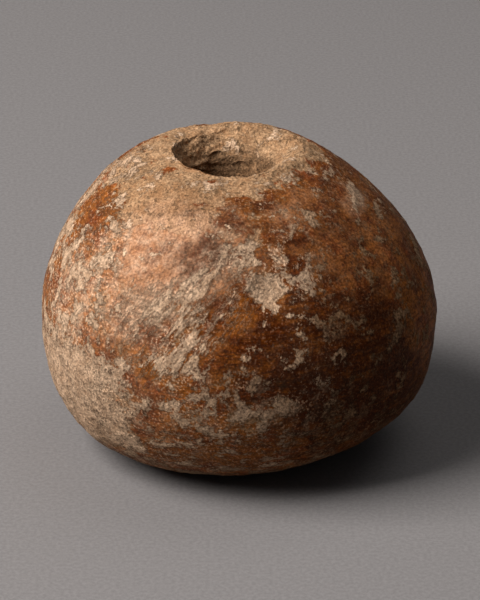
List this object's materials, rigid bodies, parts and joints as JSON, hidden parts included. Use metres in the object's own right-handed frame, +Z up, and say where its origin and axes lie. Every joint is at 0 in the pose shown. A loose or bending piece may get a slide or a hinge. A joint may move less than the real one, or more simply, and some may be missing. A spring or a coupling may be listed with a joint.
{
  "type": "spindle whorl",
  "caption": "Squat domed weight of fired clay with a flat underside and a funnel-mouthed hole down its axis for a spindle.",
  "frame": {"origin": "bottom centre of the box around the whorl, on the plane of its flat underside", "axes": "+Z up along the spindle hole, +X to the right as the picture shows it, +Y to the back"},
  "size_m": [0.04, 0.04, 0.0308],
  "materials": {
    "slipped_clay": "worn red-brown burnished slip over buff clay, with pale burial crust"
  },
  "bodies": {
    "root": {"whorl_body": "slipped_clay"}
  },
  "joints": []
}
